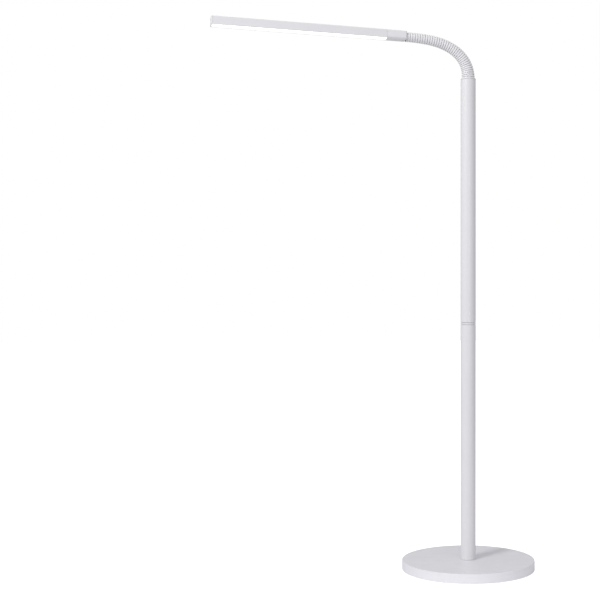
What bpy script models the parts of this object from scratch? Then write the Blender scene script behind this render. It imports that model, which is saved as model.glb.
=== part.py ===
"""Adjustable arm floor lamp: a round weighted base, a two-piece pole, a ribbed
gooseneck and a slim light bar with an opal diffuser.

Units are metres, +Z is up. The origin is on the floor under the middle of the
base. The neck and the light bar lie in the XZ plane, and the bar reaches out
towards -X. Every piece is one closed solid in its own object.
"""

import math

import bmesh
import bpy
from mathutils import Matrix, Vector

# ---- driving dimensions ----------------------------------------------------
FIT_GAP = 0.0003            # clearance between pieces that touch

BASE_RADIUS = 0.150
BASE_TOP = 0.0212
COVER_WALL = 0.0015
COVER_RIM = 0.0006          # height of the cover's lower rim over the floor
PAD_THICKNESS = 0.0030
BALLAST_HOLE = 0.0200
INLET_HEIGHT = 0.0105       # the cord inlet in the cover's back wall
GROMMET_HOLE = 0.0050
STUD_RADIUS = 0.0050        # hollow stud that holds the pole to the base
STUD_BORE = 0.0032

POLE_RADIUS = 0.017
POLE_WALL = 0.0015
POLE_TOP = 1.1090
JOINT_HEIGHT = 0.5540       # middle of the ring between the two pole sections
JOINT_RING_HEIGHT = 0.0038
JOINT_GROOVE = 0.0008
JOINER_BORE = 0.0110
JOINER_HALF = 0.0350         # how far the inner joiner reaches into each section
COLLAR_FLANGE = 0.0026      # the collar's rounded edge on the pole's top

NECK_LENGTH = 0.1904
NECK_LINKS = 12
NECK_TURN = math.radians(90.0)
NECK_TURN_LENGTH = 0.0754   # how far along the neck most of its turn is made
NECK_TURN_POWER = 1.36
NECK_END_RADIUS = 0.0102    # over the ribs, at the head
NECK_ROOT_SWELL = 0.0048    # extra radius at the pole
NECK_SWELL_LENGTH = 0.085
NECK_PITCH_SPREAD = 0.12    # ribs stand this much closer at the pole than half way
CORE_RADIUS = 0.0050
CORE_BORE = 0.0032
SLEEVE_BORE = 0.0055
SLEEVE_RIBS = 3             # ribs on one link
RIB_HEIGHT = 0.0022
RELIEF_ANGLE = math.radians(8.6)  # each link's end leans back this much, so the neck can bend

HEAD_WIDTH = 0.027
HEAD_HEIGHT = 0.018
HEAD_WALL = 0.0015
HEAD_END_X = -0.5747        # free end of the light bar
HOLDER_X = -0.1923          # where the holder meets the aluminium channel
HOLDER_END_X = -0.1470
HOLDER_DROP = 0.0015        # how far the holder hangs below the channel
HEAD_AXIS_RISE = 0.0019     # the channel's middle over the neck's end
TOP_ROUND = 0.0020          # rounding of the bar's upper edges
LIP_DEPTH = 0.0009          # the channel's lower lips, under the diffuser
LIP_REACH = 0.0012
DIFFUSER_THICKNESS = 0.0014
TIP_CAP_THICKNESS = 0.0028
TIP_PLUG_INSET = 0.0034
TIP_PLUG_LENGTH = 0.0060

LID_X = (-0.1884, -0.1576)
LID_HALF = 0.0116
LID_THICKNESS = 0.0016
LID_SET_DOWN = 0.0001       # the lid lies this much under the holder's top
CAVITY_X = (-0.1870, -0.1590)
CAVITY_HALF = 0.0104
BOSS_RADIUS = 0.0022
LID_SCREWS = ((-0.1836, 0.0074), (-0.1624, -0.0074))
SCREW_HEAD_RADIUS = 0.0018
SCREW_SHANK_RADIUS = 0.0007
FERRULE_RADIUS = 0.0066
FERRULE_LENGTH = 0.0108
SET_SCREW_RADIUS = 0.0015
SET_SCREW_X = -0.1530

LEAD_RADIUS = 0.0020
BUTTON_X = (LID_X[0] + LID_X[1]) / 2
BUTTON_RADIUS = 0.0040
BUTTON_FLANGE = 0.0008
BUTTON_TRAVEL = 0.0008

# ---- finishes: colour, roughness, metallic ----------------------------------
FINISHES = {
    "white_enamel": ((0.86, 0.86, 0.87), 0.35, 0.0),
    "white_sleeve": ((0.85, 0.85, 0.86), 0.45, 0.0),
    "white_plastic": ((0.85, 0.85, 0.86), 0.40, 0.0),
    "opal": ((0.97, 0.96, 0.92), 0.30, 0.0),
    "steel": ((0.62, 0.62, 0.63), 0.35, 1.0),
    "cement": ((0.45, 0.44, 0.42), 0.90, 0.0),
    "foam": ((0.08, 0.08, 0.08), 0.95, 0.0),
    "rubber": ((0.72, 0.72, 0.73), 0.60, 0.0),
    "board": ((0.90, 0.90, 0.88), 0.45, 0.0),
    "switch_black": ((0.05, 0.05, 0.05), 0.50, 0.0),
    "lead_jacket": ((0.80, 0.80, 0.80), 0.50, 0.0),
}


def finish_material(name, finish):
    """One Principled material for one part."""
    colour, roughness, metallic = FINISHES[finish]
    material = bpy.data.materials.new(name)
    material.use_nodes = True
    shader = material.node_tree.nodes["Principled BSDF"]
    shader.inputs["Base Color"].default_value = (*colour, 1.0)
    shader.inputs["Roughness"].default_value = roughness
    shader.inputs["Metallic"].default_value = metallic
    return material


def clear_scene():
    for thing in list(bpy.data.objects):
        bpy.data.objects.remove(thing, do_unlink=True)


def make_part(name, mesh_builder, finish, pivot=None):
    """Turn a bmesh into a named object, parented to its joint's empty if it moves."""
    mesh = bpy.data.meshes.new(name)
    bmesh.ops.recalc_face_normals(mesh_builder, faces=mesh_builder.faces)
    mesh_builder.to_mesh(mesh)
    mesh_builder.free()
    mesh.shade_smooth()
    mesh.set_sharp_from_angle(angle=math.radians(35))
    mesh.materials.append(finish_material(name, finish))
    part = bpy.data.objects.new(name, mesh)
    bpy.context.collection.objects.link(part)
    if pivot is not None:
        mesh.transform(Matrix.Translation(-pivot["at"]))
        part.parent = pivot["empty"]
    return part


def make_cutter(name, mesh_builder):
    """A shape that only cuts another: it isn't part of the lamp."""
    mesh = bpy.data.meshes.new(name)
    bmesh.ops.recalc_face_normals(mesh_builder, faces=mesh_builder.faces)
    mesh_builder.to_mesh(mesh)
    mesh_builder.free()
    cutter = bpy.data.objects.new(name, mesh)
    bpy.context.collection.objects.link(cutter)
    cutter.hide_render = True
    cutter.display_type = "WIRE"
    return cutter


def cut(part, cutter, operation="DIFFERENCE"):
    cutter.parent = part.parent
    if part.parent is not None:
        cutter.data.transform(Matrix.Translation(-part.parent.matrix_world.translation))
    boolean = part.modifiers.new(cutter.name, "BOOLEAN")
    boolean.operation = operation
    boolean.solver = "EXACT"
    boolean.object = cutter


# ---- shapes -------------------------------------------------------------------
def turned(profile, segments, centre=(0.0, 0.0, 0.0), axis="Z"):
    """Spin an outline of (radius, height) points. A radius of 0 closes on the axis."""
    shape = bmesh.new()
    points = [shape.verts.new((radius, 0.0, height)) for radius, height in profile]
    outline = [shape.edges.new((a, b)) for a, b in zip(points, points[1:])]
    if profile[0][0] > 0.0:
        outline.append(shape.edges.new((points[-1], points[0])))
    bmesh.ops.spin(
        shape, geom=points + outline, cent=(0, 0, 0), axis=(0, 0, 1),
        angle=math.tau, steps=segments, use_merge=True,
    )
    bmesh.ops.remove_doubles(shape, verts=shape.verts, dist=0.00001)
    turn = {
        "Z": Matrix.Identity(4),
        "Y": Matrix.Rotation(math.radians(-90), 4, "X"),
        "-X": Matrix.Rotation(math.radians(-90), 4, "Y"),
    }[axis]
    shape.transform(Matrix.Translation(centre) @ turn)
    return shape


def tube(outer, bore, low, high, segments, edge=0.0):
    """A plain tube on the Z axis, with its outer edges eased by edge."""
    profile = [(bore, low), (bore, high)]
    if edge > 0.0:
        profile += [(outer - edge, high), (outer, high - edge), (outer, low + edge), (outer - edge, low)]
    else:
        profile += [(outer, high), (outer, low)]
    return turned(profile, segments)


def rod(radius, low, high, segments, centre=(0.0, 0.0)):
    profile = [(0.0, low), (radius, low), (radius, high), (0.0, high)]
    return turned(profile, segments, centre=(centre[0], centre[1], 0.0))


def block(low, high):
    """A box between two corners."""
    shape = bmesh.new()
    size = Vector(high) - Vector(low)
    middle = (Vector(high) + Vector(low)) / 2
    bmesh.ops.create_cube(
        shape, size=1.0, matrix=Matrix.Translation(middle) @ Matrix.Diagonal((*size, 1.0))
    )
    return shape


def hexagon(corner_radius, bore, low, high):
    """A hexagonal nut standing on Z."""
    sides = 6
    shape = bmesh.new()
    rims = []
    for radius, height in ((bore, low), (bore, high), (corner_radius, high), (corner_radius, low)):
        ring = []
        for side in range(sides):
            angle = math.tau * side / sides
            ring.append(shape.verts.new((radius * math.cos(angle), radius * math.sin(angle), height)))
        rims.append(ring)
    join_rings(shape, rims)
    return shape


def join_rings(shape, rings):
    """Skin a row of rings with quads, and join the last ring to the first."""
    for first, second in zip(rings, rings[1:] + rings[:1]):
        count = len(first)
        for k in range(count):
            n = (k + 1) % count
            shape.faces.new((first[k], first[n], second[n], second[k]))


def drawn_along_x(outline, x_low, x_high):
    """Extrude a closed (y, z) outline along X."""
    shape = bmesh.new()
    face = shape.faces.new([shape.verts.new((x_low, y, z)) for y, z in outline])
    drawn = bmesh.ops.extrude_face_region(shape, geom=[face])
    moved = [v for v in drawn["geom"] if isinstance(v, bmesh.types.BMVert)]
    bmesh.ops.translate(shape, verts=moved, vec=(x_high - x_low, 0, 0))
    return shape


def corner_arc(y, z, radius, start, steps=4):
    """Points of a quarter round about (y, z), from the angle start in degrees."""
    points = []
    for k in range(steps + 1):
        angle = math.radians(start + 90.0 * k / steps)
        points.append((y + radius * math.cos(angle), z + radius * math.sin(angle)))
    return points


# ---- the neck's curve ----------------------------------------------------------
def neck_angle(s):
    """The neck's lean from the vertical at s metres along it."""
    made = 1.0 - math.exp(-((max(s, 0.0) / NECK_TURN_LENGTH) ** NECK_TURN_POWER))
    whole = 1.0 - math.exp(-((NECK_LENGTH / NECK_TURN_LENGTH) ** NECK_TURN_POWER))
    return NECK_TURN * min(made / whole, 1.0)


def neck_point(s):
    """A point on the neck's centre line, straight beyond both of its ends."""
    steps = 200
    inside = min(max(s, 0.0), NECK_LENGTH)
    point = Vector((0.0, 0.0, POLE_TOP + FIT_GAP))
    for k in range(steps):
        angle = neck_angle(inside * (k + 0.5) / steps)
        point += Vector((-math.sin(angle), 0.0, math.cos(angle))) * inside / steps
    angle = neck_angle(inside)
    return point + Vector((-math.sin(angle), 0.0, math.cos(angle))) * (s - inside)


def neck_station(u):
    """Distance along the neck at the share u of its ribs: they open out to the head."""
    return NECK_LENGTH * (u * (1.0 - NECK_PITCH_SPREAD) + NECK_PITCH_SPREAD * u * u)


def neck_radius(s):
    return NECK_END_RADIUS + NECK_ROOT_SWELL * math.exp(-s / NECK_SWELL_LENGTH)


def neck_ring(shape, s, radius, segments):
    """A ring of points round the neck at s."""
    centre = neck_point(s)
    angle = neck_angle(s)
    outward = Vector((math.cos(angle), 0.0, math.sin(angle)))
    sideways = Vector((0.0, 1.0, 0.0))
    ring = []
    for k in range(segments):
        turn = math.tau * k / segments
        offset = outward * math.cos(turn) + sideways * math.sin(turn)
        ring.append(shape.verts.new(centre + offset * radius))
    return ring


def joint_relief(radius):
    """Half of the wedge left open at a neck joint, which lets it bend."""
    return 0.0002 + radius * math.tan(RELIEF_ANGLE)


def link_ends(index, radius):
    """Where a link's solid starts and ends at this radius: its outer ends are fixed."""
    start = neck_station(index / NECK_LINKS)
    end = neck_station((index + 1) / NECK_LINKS)
    if index > 0:
        start += joint_relief(radius)
    end -= joint_relief(radius) if index < NECK_LINKS - 1 else FIT_GAP
    return start, end


def sleeve_link(index):
    """One ribbed length of the sleeve, three ribs on a thin hose."""
    segments = 16
    rib_foot = 0.0014
    rib_crest = 0.0005
    start_radius = neck_radius(neck_station(index / NECK_LINKS))
    end_radius = neck_radius(neck_station((index + 1) / NECK_LINKS))
    first_crest = link_ends(index, start_radius)[0] + rib_crest
    last_crest = link_ends(index, end_radius)[1] - rib_crest
    profile = [(link_ends(index, start_radius - RIB_HEIGHT)[0], start_radius - RIB_HEIGHT)]
    for rib in range(SLEEVE_RIBS):
        middle = first_crest + (last_crest - first_crest) * rib / (SLEEVE_RIBS - 1)
        crest = neck_radius(middle)
        if rib > 0:
            profile.append((middle - rib_foot, crest - RIB_HEIGHT))
        profile.append((middle - rib_crest, crest))
        profile.append((middle + rib_crest, crest))
        if rib < SLEEVE_RIBS - 1:
            profile.append((middle + rib_foot, crest - RIB_HEIGHT))
    profile.append((link_ends(index, end_radius - RIB_HEIGHT)[1], end_radius - RIB_HEIGHT))
    bore_start, bore_end = link_ends(index, SLEEVE_BORE)
    profile += [(bore_end, SLEEVE_BORE), (bore_start, SLEEVE_BORE)]
    shape = bmesh.new()
    rings = [neck_ring(shape, s, radius, segments) for s, radius in profile]
    join_rings(shape, rings)
    return shape


def core_link(index):
    """One length of the steel gooseneck core, with tails held in the pole and the head."""
    segments = 12
    pole_tail = 0.0380
    head_tail = 0.0145
    low, high = link_ends(index, CORE_RADIUS)
    low_bore, high_bore = link_ends(index, CORE_BORE)
    if index == 0:
        low = low_bore = -pole_tail
    if index == NECK_LINKS - 1:
        high = high_bore = NECK_LENGTH + head_tail
    bends = [max(low, 0.0), (max(low, 0.0) + min(high, NECK_LENGTH)) / 2, min(high, NECK_LENGTH)]
    along = [low] + [s for s in bends if low < s < high] + [high]
    profile = [(s, CORE_RADIUS) for s in along]
    profile.append((high_bore, CORE_BORE))
    profile += [(s, CORE_BORE) for s in reversed(along[1:-1])]
    profile.append((low_bore, CORE_BORE))
    shape = bmesh.new()
    rings = [neck_ring(shape, s, radius, segments) for s, radius in profile]
    join_rings(shape, rings)
    return shape


# ---- base -----------------------------------------------------------------------
def base_pad():
    radius = BASE_RADIUS - COVER_WALL - FIT_GAP
    make_part("base_pad", rod(radius, 0.0, PAD_THICKNESS, 64), "foam")


def base_cover():
    """The pressed steel cover, open underneath, with a crisp eased top edge."""
    inner = BASE_RADIUS - COVER_WALL
    stud_hole = 0.0060
    profile = [(stud_hole, BASE_TOP - COVER_WALL), (inner, BASE_TOP - COVER_WALL)]
    profile += [(inner, COVER_RIM), (BASE_RADIUS - 0.0003, COVER_RIM), (BASE_RADIUS, COVER_RIM + 0.0003)]
    edge = 0.0012
    for y, z in corner_arc(BASE_RADIUS - edge, BASE_TOP - edge, edge, 0.0, steps=3):
        profile.append((y, z))
    profile.append((stud_hole, BASE_TOP))
    cover = make_part("base_cover", turned(profile, 72), "white_enamel")
    hole = turned(
        [(0.0, 0.140), (GROMMET_HOLE, 0.140), (GROMMET_HOLE, 0.160), (0.0, 0.160)],
        16, centre=(0, 0, INLET_HEIGHT), axis="Y",
    )
    cut(cover, make_cutter("inlet_hole", hole))


def ballast_plate():
    """A cast cement disc with a hole for the nut and a channel for the lead."""
    low, high = PAD_THICKNESS + FIT_GAP, BASE_TOP - COVER_WALL - 0.0005
    radius = BASE_RADIUS - COVER_WALL - 0.0020
    channel_half = 0.0075
    channel_top = 0.0175
    profile = [(BALLAST_HOLE, low), (BALLAST_HOLE, high), (radius, high), (radius, low)]
    ballast = make_part("ballast_plate", turned(profile, 48), "cement")
    channel = block(
        (-channel_half, 0.0100, low - 0.002), (channel_half, BASE_RADIUS, channel_top)
    )
    cut(ballast, make_cutter("lead_channel", channel))


def base_grommet():
    """The rubber inlet in the cover's back wall, where a mains lead would enter."""
    wall_in = BASE_RADIUS - COVER_WALL - 0.0006
    wall_out = BASE_RADIUS + FIT_GAP
    lip = 0.0010
    lip_radius = 0.0062
    throat = GROMMET_HOLE - FIT_GAP
    bore = 0.0028
    profile = [
        (bore, wall_in - lip), (lip_radius, wall_in - lip), (lip_radius, wall_in),
        (throat, wall_in), (throat, wall_out), (lip_radius, wall_out),
        (lip_radius - 0.0004, wall_out + lip), (bore, wall_out + lip),
    ]
    shape = turned(profile, 16, centre=(0, 0, INLET_HEIGHT), axis="Y")
    make_part("base_grommet", shape, "rubber")


def pole_fixing():
    """The hollow stud that clamps the pole to the cover, with its washer and nut."""
    under = BASE_TOP - COVER_WALL
    washer_top = under - FIT_GAP
    washer_low = washer_top - 0.0015
    nut_top = washer_low - FIT_GAP
    nut_low = nut_top - 0.0050
    stud = tube(STUD_RADIUS, STUD_BORE, nut_low - 0.0010, BASE_TOP + 0.0260, 16, edge=0.0005)
    make_part("pole_stud", stud, "steel")
    make_part("stud_washer", tube(0.0150, STUD_RADIUS + FIT_GAP, washer_low, washer_top, 24), "steel")
    make_part("stud_nut", hexagon(0.0095, STUD_RADIUS + 0.0012, nut_low, nut_top), "steel")
    plug = tube(POLE_RADIUS - POLE_WALL - FIT_GAP, STUD_RADIUS + FIT_GAP, BASE_TOP + 0.0006,
                BASE_TOP + 0.0300, 32, edge=0.0006)
    make_part("pole_foot_plug", plug, "steel")


# ---- pole -------------------------------------------------------------------------
def pole_sections():
    """Two tubes that meet at a ring on an inner joiner."""
    bore = POLE_RADIUS - POLE_WALL
    ring_low = JOINT_HEIGHT - JOINT_RING_HEIGHT / 2
    ring_high = JOINT_HEIGHT + JOINT_RING_HEIGHT / 2
    lower = tube(POLE_RADIUS, bore, BASE_TOP + FIT_GAP, ring_low - JOINT_GROOVE, 48, edge=0.0003)
    make_part("lower_pole", lower, "white_enamel")
    upper = tube(POLE_RADIUS, bore, ring_high + JOINT_GROOVE, POLE_TOP - COLLAR_FLANGE - FIT_GAP, 48,
                 edge=0.0003)
    make_part("upper_pole", upper, "white_enamel")
    joiner_radius = bore - FIT_GAP
    ring = tube(POLE_RADIUS, joiner_radius + FIT_GAP, ring_low, ring_high, 40, edge=0.0003)
    make_part("joint_ring", ring, "white_enamel")
    joiner = tube(joiner_radius, JOINER_BORE, JOINT_HEIGHT - JOINER_HALF,
                  JOINT_HEIGHT + JOINER_HALF, 32, edge=0.0006)
    make_part("pole_joiner", joiner, "steel")


def pole_collar():
    """The plug in the pole's top: its rounded flange shows, its bore holds the core."""
    bore = SLEEVE_BORE
    plug_radius = POLE_RADIUS - POLE_WALL - FIT_GAP
    plug_low = POLE_TOP - 0.0300
    shoulder = POLE_TOP - COLLAR_FLANGE
    rounding = 0.0014
    profile = [(bore, plug_low), (plug_radius, plug_low), (plug_radius, shoulder), (POLE_RADIUS, shoulder)]
    profile += corner_arc(POLE_RADIUS - rounding, POLE_TOP - rounding, rounding, 0.0, steps=3)
    profile.append((bore, POLE_TOP))
    make_part("pole_collar", turned(profile, 36), "white_enamel")
    nut_top = plug_low - FIT_GAP
    make_part("neck_lock_nut", hexagon(0.0115, CORE_RADIUS + 0.0012, nut_top - 0.0060, nut_top), "steel")


def route_with_bends(points, radius, steps=5):
    """A polyline whose corners are rounded to radius."""
    route = [Vector(points[0])]
    for before, corner, after in zip(points, points[1:], points[2:]):
        corner = Vector(corner)
        back = (Vector(before) - corner).normalized()
        ahead = (Vector(after) - corner).normalized()
        half = back.angle(ahead) / 2
        reach = radius / math.tan(half)
        centre = corner + (back + ahead).normalized() * radius / math.sin(half)
        start = (corner + back * reach - centre).normalized()
        end = (corner + ahead * reach - centre).normalized()
        for k in range(steps + 1):
            route.append(centre + start.slerp(end, k / steps) * radius)
    route.append(Vector(points[-1]))
    return route


def lead(name, route, radius):
    """A round lead: a bevelled curve with filled ends."""
    curve = bpy.data.curves.new(name, "CURVE")
    curve.dimensions = "3D"
    curve.bevel_depth = radius
    curve.bevel_resolution = 2
    curve.use_fill_caps = True
    spline = curve.splines.new("POLY")
    spline.points.add(len(route) - 1)
    for point, place in zip(spline.points, route):
        point.co = (*place, 1.0)
    curve.materials.append(finish_material(name, "lead_jacket"))
    part = bpy.data.objects.new(name, curve)
    bpy.context.collection.objects.link(part)
    return part


def supply_lead():
    """The two-core lead from the inlet, under the ballast and up inside the pole."""
    inlet = (0.0, 0.1450, INLET_HEIGHT)
    lead("supply_lead", route_with_bends(
        [
            inlet, (0.0, 0.1180, INLET_HEIGHT), (0.0, 0.0900, 0.0058),
            (0.0, 0.0, 0.0058), (0.0, 0.0, POLE_TOP - 0.0450),
        ],
        radius=0.0065,
    ), LEAD_RADIUS)


# ---- light bar ----------------------------------------------------------------------
def head_levels():
    """Heights of the light bar, from where the neck ends."""
    middle = neck_point(NECK_LENGTH).z + HEAD_AXIS_RISE
    return middle - HEAD_HEIGHT / 2, middle + HEAD_HEIGHT / 2


def head_outline(low, high, top_round, bottom_round):
    """The bar's outer section as (y, z) points, anticlockwise seen from +X."""
    half = HEAD_WIDTH / 2
    outline = corner_arc(half - top_round, high - top_round, top_round, 0.0)
    outline += corner_arc(-half + top_round, high - top_round, top_round, 90.0)
    outline += corner_arc(-half + bottom_round, low + bottom_round, bottom_round, 180.0)
    outline += corner_arc(half - bottom_round, low + bottom_round, bottom_round, 270.0)
    return outline


def head_channel(pivot):
    """The aluminium channel, with lips and ledges that hold the diffuser."""
    low, high = head_levels()
    half = HEAD_WIDTH / 2
    inner = half - HEAD_WALL
    lip = inner - LIP_REACH
    ledge_low = low + LIP_DEPTH + DIFFUSER_THICKNESS + 2 * FIT_GAP
    ledge_high = ledge_low + 0.0009
    right = [
        (lip, low), (lip, low + LIP_DEPTH), (inner, low + LIP_DEPTH), (inner, ledge_low),
        (lip, ledge_low), (lip, ledge_high), (inner, ledge_high), (inner, high - HEAD_WALL),
    ]
    outline = [(half, low)]
    outline += corner_arc(half - TOP_ROUND, high - TOP_ROUND, TOP_ROUND, 0.0)
    outline += corner_arc(-half + TOP_ROUND, high - TOP_ROUND, TOP_ROUND, 90.0)
    outline.append((-half, low))
    outline += [(-y, z) for y, z in right]
    outline += reversed(right)
    x_low = HEAD_END_X + TIP_CAP_THICKNESS + FIT_GAP
    make_part("head_channel", drawn_along_x(outline, x_low, HOLDER_X - FIT_GAP), "white_enamel", pivot)


def tip_cap(pivot):
    """The moulded cap on the bar's free end, with a plug that goes into the channel."""
    low, high = head_levels()
    shape = drawn_along_x(
        head_outline(low, high, TOP_ROUND, 0.0006), HEAD_END_X, HEAD_END_X + TIP_CAP_THICKNESS
    )
    shape.faces.ensure_lookup_table()
    inner = max(shape.faces, key=lambda face: face.calc_center_median().x)
    bmesh.ops.inset_individual(shape, faces=[inner], thickness=TIP_PLUG_INSET)
    drawn = bmesh.ops.extrude_face_region(shape, geom=[inner])
    moved = [v for v in drawn["geom"] if isinstance(v, bmesh.types.BMVert)]
    bmesh.ops.delete(shape, geom=[inner], context="FACES_ONLY")
    bmesh.ops.translate(shape, verts=moved, vec=(TIP_PLUG_LENGTH, 0, 0))
    make_part("tip_cap", shape, "white_plastic", pivot)


def diffuser(pivot):
    """The opal strip: its middle stands down between the channel's lips."""
    low, _ = head_levels()
    wide = HEAD_WIDTH / 2 - HEAD_WALL - FIT_GAP
    narrow = wide - LIP_REACH
    shelf = low + LIP_DEPTH + FIT_GAP
    outline = [
        (-wide, shelf), (-narrow, shelf), (-narrow, low + 0.0002), (narrow, low + 0.0002),
        (narrow, shelf), (wide, shelf), (wide, shelf + DIFFUSER_THICKNESS),
        (-wide, shelf + DIFFUSER_THICKNESS),
    ]
    x_low = HEAD_END_X + TIP_CAP_THICKNESS + 0.0005
    make_part("diffuser", drawn_along_x(outline, x_low, HOLDER_X - 0.0005), "opal", pivot)


def led_board(pivot):
    """The light engine: an aluminium-backed strip with a row of LED packages."""
    _, high = head_levels()
    ceiling = high - HEAD_WALL - FIT_GAP
    thickness = 0.0012
    half_width = 0.0060
    x_low, x_high = HEAD_END_X + 0.0100, HOLDER_X - 0.0160
    board = make_part(
        "led_board",
        block((x_low, -half_width, ceiling - thickness), (x_high, half_width, ceiling)),
        "board", pivot,
    )
    packages = bmesh.new()
    count = 30
    half_package = 0.0014
    for k in range(count):
        x = x_low + (x_high - x_low) * (k + 0.5) / count
        middle = Vector((x, 0.0, ceiling - thickness))
        size = (2 * half_package, 2 * half_package, half_package, 1.0)
        bmesh.ops.create_cube(
            packages, size=1.0, matrix=Matrix.Translation(middle) @ Matrix.Diagonal(size)
        )
    cut(board, make_cutter("led_packages", packages), "UNION")


# ---- holder at the bar's rear ----------------------------------------------------------
def head_holder(pivot):
    """The moulded holder: a hollow for the driver, a tongue into the channel, the neck's bore."""
    channel_low, high = head_levels()
    low = channel_low - HOLDER_DROP
    outline = head_outline(low, high, TOP_ROUND, 0.0058)
    shape = drawn_along_x(outline, HOLDER_X, HOLDER_END_X)
    shape.faces.ensure_lookup_table()
    rear = max(shape.faces, key=lambda face: face.calc_center_median().x)
    bmesh.ops.bevel(shape, geom=rear.edges[:], offset=0.0030, segments=3, affect="EDGES", profile=0.5)
    holder = make_part("head_holder", shape, "white_plastic", pivot)

    tongue = block(
        (HOLDER_X - 0.0140, -0.0098, channel_low + 0.0045), (HOLDER_X + 0.0020, 0.0098, high - 0.0065)
    )
    cut(holder, make_cutter("holder_tongue", tongue), "UNION")
    floor = low + 0.0020
    cavity = block((CAVITY_X[0], -CAVITY_HALF, floor), (CAVITY_X[1], CAVITY_HALF, high + 0.0020))
    cut(holder, make_cutter("holder_cavity", cavity))
    rebate = block((LID_X[0], -LID_HALF, high - 0.0020), (LID_X[1], LID_HALF, high + 0.0020))
    cut(holder, make_cutter("lid_rebate", rebate))
    for number, (x, y) in enumerate(LID_SCREWS, 1):
        boss = rod(BOSS_RADIUS, floor - 0.0005, high - 0.0020, 12, centre=(x, y))
        cut(holder, make_cutter("screw_boss_%d" % number, boss), "UNION")
        pilot = rod(SCREW_SHANK_RADIUS + FIT_GAP, high - 0.0080, high, 10, centre=(x, y))
        cut(holder, make_cutter("screw_pilot_%d" % number, pilot))
    window = block((HOLDER_X - 0.0010, -0.0050, high - 0.0062), (CAVITY_X[0] + 0.0010, 0.0050, high - 0.0034))
    cut(holder, make_cutter("lead_window", window))
    axis_height = neck_point(NECK_LENGTH).z
    bore_radius = FERRULE_RADIUS + FIT_GAP
    bore_start, bore_end = -HOLDER_END_X - 0.0060, -CAVITY_X[1] + 0.0010
    bore_outline = [(0.0, bore_start), (bore_radius, bore_start), (bore_radius, bore_end), (0.0, bore_end)]
    bore = turned(bore_outline, 24, centre=(0, 0, axis_height), axis="-X")
    cut(holder, make_cutter("neck_bore", bore))
    screw_hole = rod(SET_SCREW_RADIUS + FIT_GAP, low - 0.0020, axis_height, 12, centre=(SET_SCREW_X, 0.0))
    cut(holder, make_cutter("set_screw_hole", screw_hole))


def holder_fittings(pivot):
    """The ferrule on the neck's end, and the set screw that grips it from below."""
    channel_low, _ = head_levels()
    low = channel_low - HOLDER_DROP
    axis_height = neck_point(NECK_LENGTH).z
    bore = CORE_RADIUS + FIT_GAP
    start = -HOLDER_END_X + 0.0008
    end = start + FERRULE_LENGTH
    profile = [(bore, start), (bore, end), (FERRULE_RADIUS, end), (FERRULE_RADIUS, start)]
    ferrule = turned(profile, 24, centre=(0, 0, axis_height), axis="-X")
    make_part("head_ferrule", ferrule, "steel", pivot)
    screw = rod(SET_SCREW_RADIUS, low + 0.0002, axis_height - FERRULE_RADIUS - FIT_GAP, 12,
                centre=(SET_SCREW_X, 0.0))
    make_part("neck_set_screw", screw, "steel", pivot)


def holder_lid(pivot):
    """The flush lid on top, with holes for the button and two countersunk screws."""
    _, high = head_levels()
    top = high - LID_SET_DOWN
    lid = make_part("holder_lid", block(
        (LID_X[0] + FIT_GAP, -LID_HALF + FIT_GAP, top - LID_THICKNESS),
        (LID_X[1] - FIT_GAP, LID_HALF - FIT_GAP, top),
    ), "white_plastic", pivot)
    hole = rod(BUTTON_RADIUS + FIT_GAP, top - 0.0040, top + 0.0020, 24, centre=(BUTTON_X, 0.0))
    cut(lid, make_cutter("button_hole", hole))
    for number, (x, y) in enumerate(LID_SCREWS, 1):
        seat = rod(SCREW_HEAD_RADIUS + FIT_GAP, top - 0.0010, top + 0.0010, 12, centre=(x, y))
        cut(lid, make_cutter("screw_seat_%d" % number, seat))
        way = rod(SCREW_SHANK_RADIUS + FIT_GAP, top - 0.0040, top + 0.0010, 10, centre=(x, y))
        cut(lid, make_cutter("screw_way_%d" % number, way))
        profile = [
            (0.0, top - 0.0070), (SCREW_SHANK_RADIUS, top - 0.0070), (SCREW_SHANK_RADIUS, top - 0.0007),
            (SCREW_HEAD_RADIUS, top - 0.0007), (SCREW_HEAD_RADIUS, top - 0.0001), (0.0, top - 0.0001),
        ]
        make_part("lid_screw_%d" % number, turned(profile, 12, centre=(x, y, 0.0)), "steel", pivot)


def button_flange_top(high):
    """The flange lies just under the lid when the button is up."""
    return high - LID_SET_DOWN - LID_THICKNESS - FIT_GAP


def driver_and_switch(pivot):
    """The driver board in the holder, its push switch, and the lead to the LED strip."""
    _, high = head_levels()
    board_top = high - 0.0078
    board = block((BUTTON_X - 0.0078, -0.0096, board_top - 0.0014), (BUTTON_X + 0.0078, 0.0096, board_top))
    make_part("driver_board", board, "board", pivot)
    body_low = board_top + FIT_GAP
    switch = make_part("push_switch", block(
        (BUTTON_X - 0.0030, -0.0030, body_low), (BUTTON_X + 0.0030, 0.0030, body_low + 0.0030)
    ), "switch_black", pivot)
    pressed_low = button_flange_top(high) - BUTTON_FLANGE - BUTTON_TRAVEL
    plunger = rod(0.0015, body_low + 0.0020, pressed_low - 0.0004, 10, centre=(BUTTON_X, 0.0))
    cut(switch, make_cutter("switch_plunger", plunger), "UNION")
    strip_lead = lead("led_lead", route_with_bends(
        [
            (BUTTON_X - 0.0055, 0.0, board_top + 0.0012), (BUTTON_X - 0.0100, 0.0, high - 0.0048),
            (HOLDER_X - 0.0150, 0.0, high - 0.0048),
        ],
        radius=0.0040,
    ), 0.0008)
    strip_lead.data.transform(Matrix.Translation(-pivot["at"]))
    strip_lead.parent = pivot["empty"]


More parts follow.
